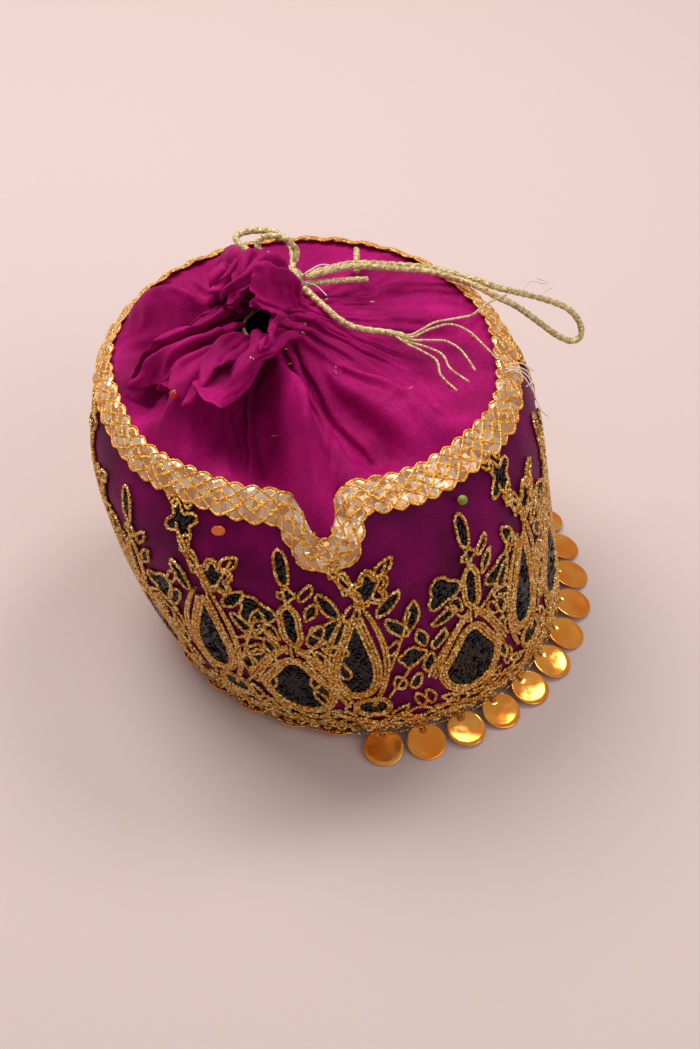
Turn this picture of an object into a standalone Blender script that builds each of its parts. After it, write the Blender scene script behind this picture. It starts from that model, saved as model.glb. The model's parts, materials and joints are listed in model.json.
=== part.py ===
"""A potli, a round drawstring bag with a lace hem of swinging discs.

Metres, +Z up, origin under the base's centre."""

import math

import bmesh
import bpy
import numpy as np
from mathutils import Matrix, Vector

MM = 0.001

# Rings of the bag's outer surface, from the base's centre over the wall and shoulder to the ruffle's edge:
# height, radius, shift right, shift back, lean to the left in degrees, depth of the pleats (lengths in mm).
RINGS = (
    (0.0, 1.0, 0.0, 0.0, 0, 0.0),
    (0.0, 30.0, 0.0, 0.0, 0, 0.0),
    (0.0, 50.0, 0.0, 0.0, 0, 0.0),
    (0.5, 57.0, 0.0, 0.0, 0, 0.0),
    (2.0, 64.0, 0.0, 0.0, 0, 0.0),
    (3.7, 69.5, 0.0, 0.0, 0, 0.0),
    (5.6, 73.2, 0.0, 0.0, 0, 0.0),
    (14.0, 76.2, -2.4, 0.0, 0, 0.0),
    (30.0, 78.4, -7.0, 0.0, 0, 0.0),
    (55.0, 80.2, -12.5, -0.5, 0, 0.0),
    (80.0, 80.0, -16.5, 1.5, 0, 0.0),
    (97.0, 76.5, -18.5, 5.5, 0, 0.0),
    (106.5, 70.5, -20.5, 9.0, 0, 0.0),
    (111.5, 60.0, -21.5, 9.5, 0, 0.0),
    (114.5, 46.0, -23.5, 9.0, 0, 0.2),
    (117.0, 31.0, -27.0, 8.5, 0, 0.6),
    (120.5, 18.5, -30.0, 8.0, 4, 0.8),
    (125.5, 13.0, -31.0, 7.0, 10, 0.8),
    (131.0, 15.0, -33.5, 6.0, 18, 1.2),
    (136.0, 19.5, -38.0, 4.5, 26, 2.0),
    (139.5, 23.0, -42.5, 3.0, 31, 3.0),
    (141.5, 25.5, -47.0, 2.0, 34, 3.6),
)
NECK_RING = 17
HEM_RING = 6
SHOULDER_RING = 12
PLEATS = 18

CLOTH = 1.0
LINING = 0.5
LINING_INSET = 2.2
LINING_BELOW_V = 6.0
SEAM_GAP = 1.0
SEAM_LEVEL = 105.5

TRIM_WIDTH = 10.4
TRIM_THICKNESS = 0.9
TRIM_ABOVE_SEAM = 0.36  # share of its width
PROUD = 0.8
V_CENTRE_DEG = 4.0
V_HALF_DEG = 9.0
V_DEPTH = 14.0

LACE_THICKNESS = 0.6
LACE_FOOT = 0.2  # rings above the hem, clear of the discs' inner edges
LACE_PROUD = 1.3
LACE_REPEATS = 8
LACE_SPIKE_DEG = 10.0
LACE_LOW = 62.0
LACE_HIGH = 94.0
LACE_EDGE = 2.5

CORD = 2.5
CORD_CLEARANCE = 1.76
STRAND = 0.9
CORD_STEP = 6.0
STRAND_STEP = 3.0

DISC = 14.2
DISC_THICKNESS = 0.45
DISC_HOLE = 2.0
DISC_HANG = 5.6
HEM_THREAD_RADIUS = 75.8
HEM_THREAD_HEIGHT = 4.0
OUTER_DISCS = 21
OUTER_FIRST_DEG = 5.0
OUTER_STEP_DEG = 11.0
TUCKED_DISCS = 10
TUCKED_FIRST_DEG = 237.5
TUCKED_STEP_DEG = 12.78
OUTER_SLOPE_DEG = 15.0
SLOPE_WAVE_DEG = 2.0
TUCKED_SLOPE_DEG = 14.5

KNOT_PLACE = (-26.0, 27.6, 127.6)
KNOT_SIZE = (9.5, 7.0, 7.0)

# Each cord's own points, in mm. The cord is a smooth curve through them.
LONG_LOOP = (
    (-20.2, 30.0, 128.2), (-13.8, 35.0, 126.4), (-3.2, 44.0, 122.4), (13.5, 49.4, 117.6),
    (24.2, 51.4, 114.8), (33.0, 50.6, 112.8), (41.5, 48.8, 111.2), (48.8, 47.4, 109.0),
    (56.5, 49.0, 105.6), (65.6, 51.5, 101.0), (75.4, 52.6, 95.8), (80.6, 51.3, 90.4),
    (81.6, 48.5, 86.0), (78.3, 47.0, 84.3), (72.5, 46.4, 87.4), (66.4, 46.4, 92.6),
    (60.4, 45.6, 98.4), (54.6, 44.6, 103.6), (48.2, 43.4, 108.0), (41.0, 44.6, 111.8),
    (32.4, 46.6, 114.0), (23.4, 47.6, 116.2), (12.8, 45.6, 118.8), (-3.4, 39.6, 124.4),
    (-13.6, 31.2, 128.4), (-20.4, 26.6, 129.4),
)
SHORT_LOOP = (
    (-30.4, 28.6, 132.0), (-34.6, 31.2, 134.6), (-37.2, 33.4, 137.8), (-35.6, 34.8, 140.2),
    (-31.2, 35.2, 140.6), (-26.6, 34.6, 139.2), (-23.8, 33.0, 136.0), (-24.2, 30.6, 132.8),
)
BACK_LOOP = (
    (-31.6, 31.0, 128.2), (-38.0, 36.6, 131.0), (-44.6, 42.4, 132.4), (-45.0, 47.0, 132.6),
    (-39.4, 50.2, 132.2), (-32.0, 50.4, 131.2), (-26.6, 46.4, 129.4), (-25.2, 39.4, 127.8),
    (-25.6, 32.6, 127.2),
)
TAIL = (
    (-21.2, 24.4, 126.6), (-17.8, 20.0, 126.0), (-13.2, 14.4, 125.2), (-8.6, 10.4, 123.4),
    (-4.0, 8.6, 121.8), (2.0, 8.6, 120.2), (8.4, 8.6, 119.2), (14.2, 7.4, 118.4),
)
STRANDS = (
    ((15.8, 8.6, 118.0), (20.5, 14.0, 116.6), (26.0, 20.4, 115.6), (32.0, 27.4, 114.6),
     (38.0, 35.2, 112.8), (44.0, 42.0, 110.8)),
    ((16.2, 7.4, 118.0), (22.7, 10.4, 116.8), (29.0, 12.4, 115.8), (35.5, 13.0, 114.4),
     (42.6, 13.4, 112.6)),
    ((16.0, 6.2, 117.9), (22.0, 5.6, 116.6), (27.4, 2.6, 115.6), (32.6, -1.4, 114.4), (37.6, -4.6, 112.8)),
    ((15.4, 5.2, 117.8), (20.4, 1.8, 116.8), (24.6, -3.2, 115.8), (29.4, -7.4, 114.6),
     (34.6, -11.4, 112.8)),
    ((14.6, 4.6, 117.6), (17.8, -0.4, 117.0), (20.6, -6.4, 116.0), (23.6, -12.4, 115.0),
     (27.2, -18.0, 113.8)),
)
CASING_TIE = ((-2.6, 62.6, 115.2), (-2.6, 57.0, 116.2), (-2.6, 50.4, 117.4), (-2.6, 44.8, 118.0))

SEQUIN_TURN_DEG = -22.0
SEQUIN_HEIGHT = 97.0
SEQUIN_SIZE = 4.6
RED_BEAD_PLACE = (-62.4, -33.0, 114.6)
RED_BEAD_SIZE = 3.0
GREEN_BEAD_TURN_DEG = 40.0
GREEN_BEAD_HEIGHT = 98.0
GREEN_BEAD_PROUD = 3.2
GREEN_BEAD_SIZE = 3.4


def clear_scene():
    for item in list(bpy.data.objects):
        bpy.data.objects.remove(item)


def new_collection(name):
    collection = bpy.data.collections.new(name)
    bpy.context.scene.collection.children.link(collection)
    return collection


def new_material(name, colour, roughness, metallic):
    material = bpy.data.materials.new(name)
    material.use_nodes = True
    shader = material.node_tree.nodes["Principled BSDF"]
    shader.inputs["Base Color"].default_value = (*colour, 1.0)
    shader.inputs["Roughness"].default_value = roughness
    shader.inputs["Metallic"].default_value = metallic
    return material


def new_object(name, data, material):
    item = bpy.data.objects.new(name, data)
    data.materials.append(material)
    BAG.objects.link(item)
    return item


def smooth_between(points, way):
    """The point of a Catmull-Rom curve through the rows of points, where way counts rows."""
    last = len(points) - 1
    way = min(max(way, 0.0), last)
    start = min(int(way), last - 1)
    part = way - start
    before, here, there, after = (points[min(max(start + k, 0), last)] for k in (-1, 0, 1, 2))
    return 0.5 * (
        2 * here
        + (there - before) * part
        + (2 * before - 5 * here + 4 * there - after) * part**2
        + (3 * here - before - 3 * there + after) * part**3
    )


RING_TABLE = np.array(RINGS)


def skin_point(turn, way):
    """A point of the outer surface. Turn is the angle from the front to the right, way counts rings."""
    height, radius, right, back, lean, pleat = smooth_between(RING_TABLE, way)
    radius += pleat * math.cos(PLEATS * turn)
    lean = math.radians(lean)
    across = radius * math.sin(turn)
    return Vector((
        right + across * math.cos(lean),
        back - radius * math.cos(turn),
        height + across * math.sin(lean),
    ))


def on_skin(turn, way, proud):
    """The point that stands this far out of the surface."""
    step = 0.01
    along = skin_point(turn + step, way) - skin_point(turn - step, way)
    up = skin_point(turn, way + step) - skin_point(turn, way - step)
    return (skin_point(turn, way) + along.cross(up).normalized() * proud) * MM


def way_at_height(height):
    """The ring count where the wall reaches this height."""
    low, high = float(HEM_RING), float(SHOULDER_RING + 1)
    for _ in range(30):
        middle = (low + high) / 2
        if smooth_between(RING_TABLE, middle)[0] < height:
            low = middle
        else:
            high = middle
    return (low + high) / 2


def seam_height(turn):
    """The seam between the dark and the light cloth runs round the shoulder, with one V at the front."""
    off = abs((math.degrees(turn) - V_CENTRE_DEG + 180) % 360 - 180)
    dip = max(0.0, 1 - off / V_HALF_DEG)
    return SEAM_LEVEL - V_DEPTH * dip * dip * (3 - 2 * dip)


def lace_height(turn):
    """The lace's top edge rises to one point in each repeat, and stays below the trim."""
    wave = 0.5 + 0.5 * math.cos(LACE_REPEATS * (turn - math.radians(LACE_SPIKE_DEG)))
    rise = LACE_LOW + (LACE_HIGH - LACE_LOW) * wave
    return min(rise, seam_height(turn) - TRIM_WIDTH / 2 - LACE_EDGE)


def wrapped_cloth(name, material, columns, rows, way_of, proud, thickness, capped=False):
    """A sheet round the bag: way_of gives the ring count from a turn and a share of the way up."""
    bm = bmesh.new()
    bmesh.ops.create_grid(bm, x_segments=columns, y_segments=rows, size=0.5)
    for vertex in bm.verts:
        turn = (vertex.co.x + 0.5) * math.tau
        vertex.co = on_skin(turn, way_of(turn, vertex.co.y + 0.5), proud)
    bmesh.ops.remove_doubles(bm, verts=bm.verts, dist=0.01 * MM)
    if capped:
        rim = [edge for edge in bm.edges if edge.is_boundary and edge.verts[0].co.xy.length < 5 * MM]
        cap = bmesh.ops.contextual_create(bm, geom=rim)["faces"]
        bmesh.ops.reverse_faces(bm, faces=[face for face in cap if face.normal.z > 0])
    mesh = bpy.data.meshes.new(name)
    bm.to_mesh(mesh)
    bm.free()
    mesh.shade_smooth()
    item = new_object(name, mesh, material)
    solidify = item.modifiers.new("Thickness", "SOLIDIFY")
    solidify.thickness = thickness * MM
    solidify.offset = -1
    return item


def way_between(low, high):
    return lambda turn, share: low(turn) + (high(turn) - low(turn)) * share


def smooth_route(points, step):
    """Points about one step apart along a smooth curve through the given ones."""
    table = np.array(points)
    fine = np.array([smooth_between(table, way) for way in np.arange(0, len(table) - 0.99, 0.05)])
    run = np.concatenate([[0], np.cumsum(np.linalg.norm(np.diff(fine, axis=0), axis=1))])
    count = max(4, round(run[-1] / step))
    stations = np.linspace(0, run[-1], count + 1)
    return np.stack([np.interp(stations, run, fine[:, axis]) for axis in range(3)], axis=1)


def tube(name, material, points, diameter, cyclic=False):
    curve = bpy.data.curves.new(name, "CURVE")
    curve.dimensions = "3D"
    curve.bevel_depth = diameter / 2 * MM
    curve.bevel_resolution = 2
    curve.use_fill_caps = not cyclic
    spline = curve.splines.new("POLY")
    spline.points.add(len(points) - 1)
    for place, point in zip(spline.points, points):
        place.co = (*(Vector(point) * MM), 1.0)
    spline.use_cyclic_u = cyclic
    return new_object(name, curve, material)


def round_bead(name, material, place, size):
    bm = bmesh.new()
    bmesh.ops.create_uvsphere(bm, u_segments=12, v_segments=8, radius=0.5)
    for vertex in bm.verts:
        vertex.co = Vector(vertex.co[axis] * size[axis] * MM for axis in range(3))
    mesh = bpy.data.meshes.new(name)
    bm.to_mesh(mesh)
    bm.free()
    mesh.shade_smooth()
    item = new_object(name, mesh, material)
    item.location = Vector(place) * MM
    return item


def circle_spline(curve, radius, centre, count):
    spline = curve.splines.new("POLY")
    spline.points.add(count - 1)
    for k, point in enumerate(spline.points):
        angle = math.tau * k / count
        point.co = (centre + radius * math.cos(angle), radius * math.sin(angle), 0.0, 1.0)
    spline.use_cyclic_u = True


def disc_shape():
    """A flat disc with a thread hole. The hole's centre is at the origin and the disc reaches along +X."""
    curve = bpy.data.curves.new("disc", "CURVE")
    curve.dimensions = "2D"
    curve.fill_mode = "BOTH"
    curve.extrude = DISC_THICKNESS / 2 * MM
    circle_spline(curve, DISC / 2 * MM, DISC_HANG * MM, 18)
    circle_spline(curve, DISC_HOLE / 2 * MM, 0.0, 6)
    return curve


def hem_disc(name, turn, slope, outward):
    """A disc on the hem thread, its hole's centre on the hinge line, sloping down away from it."""
    frame = Matrix.Rotation(turn - math.pi / 2, 4, "Z")
    tilt = Matrix.Rotation(slope if outward else math.pi - slope, 4, "Y")
    place = Matrix.Translation((HEM_THREAD_RADIUS * MM, 0, HEM_THREAD_HEIGHT * MM))
    item = new_object(name, DISC_CURVE.copy(), GOLD_DISC)
    item.matrix_world = frame @ place @ tilt
    return item


clear_scene()
BAG = new_collection("potli_bag")
DARK_CLOTH = new_material("plum_satin", (0.09, 0.0, 0.035), 0.45, 0.0)
LIGHT_CLOTH = new_material("magenta_silk", (0.42, 0.01, 0.13), 0.6, 0.0)
LINING_CLOTH = new_material("lining_cloth", (0.30, 0.01, 0.09), 0.7, 0.0)
BRAID = new_material("gota_braid", (0.80, 0.50, 0.30), 0.3, 0.6)
ZARI = new_material("zari_lace", (0.50, 0.24, 0.03), 0.35, 0.8)
STRAW = new_material("straw_cord", (0.55, 0.42, 0.22), 0.6, 0.2)
GOLD_DISC = new_material("gold_disc", (0.85, 0.42, 0.06), 0.12, 1.0)
ORANGE_SEQUIN = new_material("orange_sequin", (0.9, 0.25, 0.02), 0.2, 0.3)
RED_GLASS = new_material("red_bead", (0.6, 0.02, 0.02), 0.15, 0.0)
GREEN_GLASS = new_material("green_bead", (0.25, 0.35, 0.02), 0.15, 0.0)

# Cloth shells
wrapped_cloth(
    "base_panel", LIGHT_CLOTH, 48, 5,
    way_between(lambda turn: 0.0, lambda turn: HEM_RING - 0.35), 0.0, CLOTH, capped=True,
)
wrapped_cloth(
    "body_cloth", DARK_CLOTH, 72, 9,
    way_between(lambda turn: HEM_RING, lambda turn: way_at_height(seam_height(turn) - SEAM_GAP / 2)),
    0.0, CLOTH,
)
wrapped_cloth(
    "lining", LINING_CLOTH, 36, 9,
    way_between(lambda turn: 0.0, lambda turn: way_at_height(SEAM_LEVEL - V_DEPTH - LINING_BELOW_V)),
    -LINING_INSET, LINING, capped=True,
)
wrapped_cloth(
    "neck_cloth", LIGHT_CLOTH, 72, 11,
    way_between(
        lambda turn: way_at_height(seam_height(turn) + SEAM_GAP / 2),
        lambda turn: len(RINGS) - 1.0,
    ),
    0.0, CLOTH,
)

# Trim and lace, proud of the wall
wrapped_cloth(
    "gota_trim", BRAID, 108, 2,
    way_between(
        lambda turn: way_at_height(seam_height(turn) - TRIM_WIDTH / 2),
        lambda turn: way_at_height(seam_height(turn) + TRIM_ABOVE_SEAM * TRIM_WIDTH),
    ),
    PROUD + TRIM_THICKNESS, TRIM_THICKNESS,
)
wrapped_cloth(
    "lace_border", ZARI, 72, 6,
    way_between(lambda turn: HEM_RING + LACE_FOOT, lambda turn: way_at_height(lace_height(turn))),
    LACE_PROUD + LACE_THICKNESS, LACE_THICKNESS,
)

# Drawstring, bow and cords
neck_turns = [math.tau * k / 36 for k in range(36)]
tube(
    "drawstring", STRAW,
    [on_skin(turn, NECK_RING, CORD / 2 + CORD_CLEARANCE) / MM for turn in neck_turns],
    CORD, cyclic=True,
)
round_bead("bow_knot", STRAW, KNOT_PLACE, KNOT_SIZE)
tube("long_loop", STRAW, smooth_route(LONG_LOOP, CORD_STEP), CORD)
tube("short_loop", STRAW, smooth_route(SHORT_LOOP, CORD_STEP / 2), CORD)
tube("back_loop", STRAW, smooth_route(BACK_LOOP, CORD_STEP), CORD)
tube("cord_tail", STRAW, smooth_route(TAIL, CORD_STEP), CORD)
for number, route in enumerate(STRANDS, start=1):
    tube(f"frayed_strand_{number}", STRAW, smooth_route(route, STRAND_STEP), STRAND)
tube("casing_tie", STRAW, smooth_route(CASING_TIE, CORD_STEP / 2), CORD)

# Loose beads caught in the stitching
round_bead(
    "orange_sequin", ORANGE_SEQUIN,
    on_skin(math.radians(SEQUIN_TURN_DEG), way_at_height(SEQUIN_HEIGHT), 2 * PROUD) / MM,
    (SEQUIN_SIZE, 1.2, SEQUIN_SIZE),
)
round_bead("red_bead", RED_GLASS, RED_BEAD_PLACE, (RED_BEAD_SIZE,) * 3)
round_bead(
    "green_bead", GREEN_GLASS,
    on_skin(math.radians(GREEN_BEAD_TURN_DEG), way_at_height(GREEN_BEAD_HEIGHT), GREEN_BEAD_PROUD) / MM,
    (GREEN_BEAD_SIZE,) * 3,
)

# Hem discs, each on its own hinge line
DISC_CURVE = disc_shape()
for k in range(OUTER_DISCS):
    turn = math.radians(OUTER_FIRST_DEG + OUTER_STEP_DEG * k)
    slope = math.radians(OUTER_SLOPE_DEG + SLOPE_WAVE_DEG * math.sin(2.4 * k))
    hem_disc(f"hem_disc_{k + 1:02d}", turn, slope, outward=True)
for k in range(TUCKED_DISCS):
    turn = math.radians(TUCKED_FIRST_DEG + TUCKED_STEP_DEG * k)
    hem_disc(f"hem_disc_{OUTER_DISCS + k + 1:02d}", turn, math.radians(TUCKED_SLOPE_DEG), outward=False)
bpy.data.curves.remove(DISC_CURVE)
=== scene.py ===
import json
import math
import random

import bmesh
import bpy
import numpy as np
from mathutils import Matrix, Vector


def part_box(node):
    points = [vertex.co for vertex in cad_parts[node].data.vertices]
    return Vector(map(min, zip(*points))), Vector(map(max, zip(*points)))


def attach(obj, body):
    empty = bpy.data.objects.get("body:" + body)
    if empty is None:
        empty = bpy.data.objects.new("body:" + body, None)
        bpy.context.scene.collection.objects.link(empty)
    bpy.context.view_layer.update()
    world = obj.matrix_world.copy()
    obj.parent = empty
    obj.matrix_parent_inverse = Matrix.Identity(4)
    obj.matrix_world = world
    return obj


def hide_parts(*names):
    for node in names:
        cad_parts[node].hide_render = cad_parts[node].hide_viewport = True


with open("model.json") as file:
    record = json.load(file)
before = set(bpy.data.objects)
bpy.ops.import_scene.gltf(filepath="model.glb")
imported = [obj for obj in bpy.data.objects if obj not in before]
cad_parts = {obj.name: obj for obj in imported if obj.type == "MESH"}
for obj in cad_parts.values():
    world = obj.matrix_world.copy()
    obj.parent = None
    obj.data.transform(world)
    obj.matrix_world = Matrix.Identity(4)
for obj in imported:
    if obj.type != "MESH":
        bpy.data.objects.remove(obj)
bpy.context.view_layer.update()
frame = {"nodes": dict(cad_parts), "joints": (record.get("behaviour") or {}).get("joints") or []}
mm = 0.001
random.seed(7)
scene = bpy.context.scene
print("frame loaded:", len(frame["nodes"]), "nodes")

# ---- the bag's outer surface, ring by ring as in the frame
# height, radius, right and back in mm, lean in degrees
bagShape = {
    "rings": (
        (0.0, 1.0, 0.0, 0.0, 0), (0.0, 30.0, 0.0, 0.0, 0), (0.0, 50.0, 0.0, 0.0, 0),
        (0.5, 57.0, 0.0, 0.0, 0), (2.0, 64.0, 0.0, 0.0, 0), (3.7, 69.5, 0.0, 0.0, 0),
        (5.6, 73.2, 0.0, 0.0, 0), (14.0, 76.2, -2.4, 0.0, 0), (30.0, 78.4, -7.0, 0.0, 0),
        (55.0, 80.2, -12.5, -0.5, 0), (80.0, 80.0, -16.5, 1.5, 0), (97.0, 76.5, -18.5, 5.5, 0),
        (106.5, 70.5, -20.5, 9.0, 0), (111.5, 60.0, -21.5, 9.5, 0), (114.5, 46.0, -23.5, 9.0, 0),
        (117.0, 31.0, -27.0, 8.5, 0), (120.5, 18.5, -30.0, 8.0, 4), (125.5, 13.0, -31.0, 7.0, 10),
        (131.0, 15.0, -33.5, 6.0, 18), (136.0, 19.5, -38.0, 4.5, 26), (139.5, 23.0, -42.5, 3.0, 31),
        (141.5, 25.5, -47.0, 2.0, 34),
    ),
    "hemRing": 6,
    "shoulderRing": 15,    # the wall is looked up by height only as far as this
    "neckRing": 17,
    "flatRadius": 76.0,    # what a degree of turn is worth when the lace is laid flat
    "softness": 1.0,       # how far the cloth wall waves in and out
}


def smoothTable(rows, step):
    rows = np.array(rows, float)
    ways = np.arange(0, len(rows) - 1 + 1e-9, step)
    out = []
    for way in ways:
        start = min(int(way), len(rows) - 2)
        part = way - start
        a, b, c, d = (rows[min(max(start + k, 0), len(rows) - 1)] for k in (-1, 0, 1, 2))
        out.append(0.5 * (2 * b + (c - a) * part + (2 * a - 5 * b + 4 * c - d) * part**2
                          + (3 * b - a - 3 * c + d) * part**3))
    return ways, np.array(out)


ringWays, ringRows = smoothTable(bagShape["rings"], 0.02)
ringReach = np.concatenate([[0], np.cumsum(np.hypot(np.diff(ringRows[:, 0]), np.diff(ringRows[:, 1])))])
ringReach -= np.interp(bagShape["hemRing"], ringWays, ringReach)
neckReach = float(np.interp(bagShape["neckRing"], ringWays, ringReach))


def wallWave(turn, reach):
    # soft hollows and swells of the cloth wall, none at the hem and none over the shoulder
    share = np.clip(reach / 100, 0, 1)
    hump = np.sin(np.pi * share) ** 1.5
    wave = 0.9 * np.sin(3 * turn + 0.6 + share) + 0.6 * np.sin(7 * turn + 2.1 - 2 * share)
    return bagShape["softness"] * hump * wave * 0.7 - 0.35 * hump


def skinPoint(turn, reach):
    height, radius, right, back, lean = (np.interp(reach, ringReach, ringRows[:, k]) for k in range(5))
    lean = np.radians(lean)
    across = radius * np.sin(turn)
    return np.stack([right + across * np.cos(lean), back - radius * np.cos(turn),
                     height + across * np.sin(lean)], -1)


def clothPoints(turn, reach, proud):
    # points in metres that stand this many mm out of the cloth
    turn, reach, proud = np.broadcast_arrays(*(np.asarray(v, float) for v in (turn, reach, proud)))
    along = skinPoint(turn + 0.01, reach) - skinPoint(turn - 0.01, reach)
    up = skinPoint(turn, reach + 0.3) - skinPoint(turn, reach - 0.3)
    out = np.cross(along, up)
    out /= np.linalg.norm(out, axis=-1, keepdims=True)
    return (skinPoint(turn, reach) + out * (proud + wallWave(turn, reach))[..., None]) * mm


def reachAtHeight(height):
    usable = (ringWays >= bagShape["hemRing"]) & (ringWays <= bagShape["shoulderRing"])
    return np.interp(height, ringRows[usable, 0], ringReach[usable])


# ---- small makers shared by the pieces
def meshPoints(mesh):
    points = np.empty(len(mesh.vertices) * 3)
    mesh.vertices.foreach_get("co", points)
    return points.reshape(-1, 3)


def setPoints(mesh, points):
    mesh.vertices.foreach_set("co", np.ascontiguousarray(points, float).ravel())
    mesh.update()


def addObject(name, data, *materials):
    thing = bpy.data.objects.new(name, data)
    for material in materials:
        data.materials.append(material)
    scene.collection.objects.link(thing)
    return thing


def meshOf(bm, name, smooth=True):
    mesh = bpy.data.meshes.new(name)
    bm.to_mesh(mesh)
    bm.free()
    if smooth:
        mesh.shade_smooth()
    return mesh


def evaluatedMesh(thing):
    graph = bpy.context.evaluated_depsgraph_get()
    mesh = bpy.data.meshes.new_from_object(thing.evaluated_get(graph))
    data = thing.data
    bpy.data.objects.remove(thing)
    if isinstance(data, bpy.types.Curve):
        bpy.data.curves.remove(data)
    return mesh


def joinedMesh(name, meshes):
    bm = bmesh.new()
    for mesh in meshes:
        bm.from_mesh(mesh)
    return meshOf(bm, name)


def newCurve(thickness):
    curve = bpy.data.curves.new("cords", "CURVE")
    curve.dimensions = "3D"
    curve.bevel_depth = thickness
    curve.bevel_resolution = 1
    return curve


def addLine(curve, places, radii=None, closed=False):
    spline = curve.splines.new("POLY")
    spline.points.add(len(places) - 1)
    for k, (point, place) in enumerate(zip(spline.points, places)):
        point.co = (*place, 1)
        if radii is not None:
            point.radius = radii[k]
    spline.use_cyclic_u = closed


def wrappedGrid(name, columns, rows, place):
    # a sheet round the bag: place maps arrays of turn and share (0 to 1) to points
    bm = bmesh.new()
    bmesh.ops.create_grid(bm, x_segments=columns, y_segments=rows, size=0.5)
    mesh = meshOf(bm, name)
    flat = meshPoints(mesh)
    setPoints(mesh, place((flat[:, 0] + 0.5) * math.tau, flat[:, 1] + 0.5))
    bm = bmesh.new()
    bm.from_mesh(mesh)
    bmesh.ops.remove_doubles(bm, verts=bm.verts, dist=0.01 * mm)
    bpy.data.meshes.remove(mesh)
    return meshOf(bm, name)


def addThickness(thing, thickness, offset=-1.0):
    solidify = thing.modifiers.new("Thickness", "SOLIDIFY")
    solidify.thickness = thickness * mm
    solidify.offset = offset


def addSubdivision(thing, levels=1):
    smooth = thing.modifiers.new("Smooth", "SUBSURF")
    smooth.levels = smooth.render_levels = levels


def placeOn(thing, body, slot, *nodes):
    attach(thing, body)
    if nodes:
        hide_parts(*nodes)
    return thing


# ---- materials
def newMaterial(name, colour, roughness, metallic=0.0, **extra):
    material = bpy.data.materials.new(name)
    material.use_nodes = True
    shader = material.node_tree.nodes["Principled BSDF"]
    shader.inputs["Base Color"].default_value = (*colour, 1)
    shader.inputs["Roughness"].default_value = roughness
    shader.inputs["Metallic"].default_value = metallic
    for socket, value in extra.items():
        shader.inputs[socket.replace("_", " ")].default_value = value
    return material, material.node_tree.nodes, material.node_tree.links, shader


def addNode(nodes, kind, **values):
    node = nodes.new(kind)
    for key, value in values.items():
        if key in node.inputs:
            node.inputs[key].default_value = value
        else:
            setattr(node, key, value)
    return node


def addRamp(nodes, links, source, stops):
    ramp = nodes.new("ShaderNodeValToRGB")
    while len(ramp.color_ramp.elements) < len(stops):
        ramp.color_ramp.elements.new(0.5)
    for element, (place, colour) in zip(ramp.color_ramp.elements, stops):
        element.position = place
        element.color = (*colour, 1)
    links.new(source, ramp.inputs["Fac"])
    return ramp.outputs["Color"]


def addBump(nodes, links, shader, height, strength, distance):
    bump = addNode(nodes, "ShaderNodeBump", Strength=strength, Distance=distance)
    links.new(height, bump.inputs["Height"])
    links.new(bump.outputs["Normal"], shader.inputs["Normal"])
    return bump


# how fine the threads run each way, and the soft patches of colour, per metre
weaveScale = {"warp": (900, 900, 2600), "weft": (2600, 2600, 500), "cloud": 55.0}


def clothMaterial(name, dark, middle, light, roughness, sheen, sheenTint, slub):
    material, nodes, links, shader = newMaterial(name, middle, roughness)
    shader.inputs["Sheen Weight"].default_value = sheen
    shader.inputs["Sheen Roughness"].default_value = 0.4
    shader.inputs["Sheen Tint"].default_value = (*sheenTint, 1)
    shader.inputs["Specular IOR Level"].default_value = 0.08
    place = addNode(nodes, "ShaderNodeTexCoord").outputs["Object"]
    warp = addNode(nodes, "ShaderNodeMapping", Scale=weaveScale["warp"])
    weft = addNode(nodes, "ShaderNodeMapping", Scale=weaveScale["weft"])
    links.new(place, warp.inputs["Vector"])
    links.new(place, weft.inputs["Vector"])
    warpNoise = addNode(nodes, "ShaderNodeTexNoise", Scale=1.0, Detail=2.0)
    weftNoise = addNode(nodes, "ShaderNodeTexNoise", Scale=1.0, Detail=2.0)
    cloud = addNode(nodes, "ShaderNodeTexNoise", Scale=weaveScale["cloud"], Detail=3.0)
    links.new(warp.outputs["Vector"], warpNoise.inputs["Vector"])
    links.new(weft.outputs["Vector"], weftNoise.inputs["Vector"])
    links.new(place, cloud.inputs["Vector"])
    weave = addNode(nodes, "ShaderNodeMath", operation="ADD")
    links.new(warpNoise.outputs["Fac"], weave.inputs[0])
    links.new(weftNoise.outputs["Fac"], weave.inputs[1])
    mixed = addNode(nodes, "ShaderNodeMath", operation="MULTIPLY_ADD")
    links.new(weave.outputs[0], mixed.inputs[0])
    mixed.inputs[1].default_value = slub
    links.new(cloud.outputs["Fac"], mixed.inputs[2])
    half = addNode(nodes, "ShaderNodeMath", operation="MULTIPLY")
    half.inputs[1].default_value = 1 / (1 + 2 * slub)
    links.new(mixed.outputs[0], half.inputs[0])
    colour = addRamp(nodes, links, half.outputs[0], ((0.36, dark), (0.5, middle), (0.64, light)))
    links.new(colour, shader.inputs["Base Color"])
    addBump(nodes, links, shader, weave.outputs[0], 0.5, 0.00025)
    return material


def glitterMaterial(name, dark, middle, light, roughness, metallic, grain, depth):
    # metal thread: every grain is tilted and tinted in its own way, so some of them flash
    material, nodes, links, shader = newMaterial(name, middle, roughness, metallic)
    place = addNode(nodes, "ShaderNodeTexCoord").outputs["Object"]
    cells = addNode(nodes, "ShaderNodeTexVoronoi", Scale=grain)
    links.new(place, cells.inputs["Vector"])
    split = addNode(nodes, "ShaderNodeSeparateColor")
    links.new(cells.outputs["Color"], split.inputs["Color"])
    colour = addRamp(nodes, links, split.outputs[0], ((0.1, dark), (0.5, middle), (0.93, light)))
    links.new(colour, shader.inputs["Base Color"])
    rough = addNode(nodes, "ShaderNodeMapRange")
    rough.inputs["To Min"].default_value = roughness * 0.6
    rough.inputs["To Max"].default_value = roughness * 1.5
    links.new(split.outputs[1], rough.inputs["Value"])
    links.new(rough.outputs["Result"], shader.inputs["Roughness"])
    addBump(nodes, links, shader, cells.outputs["Distance"], 1.0, depth)
    return material


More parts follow.
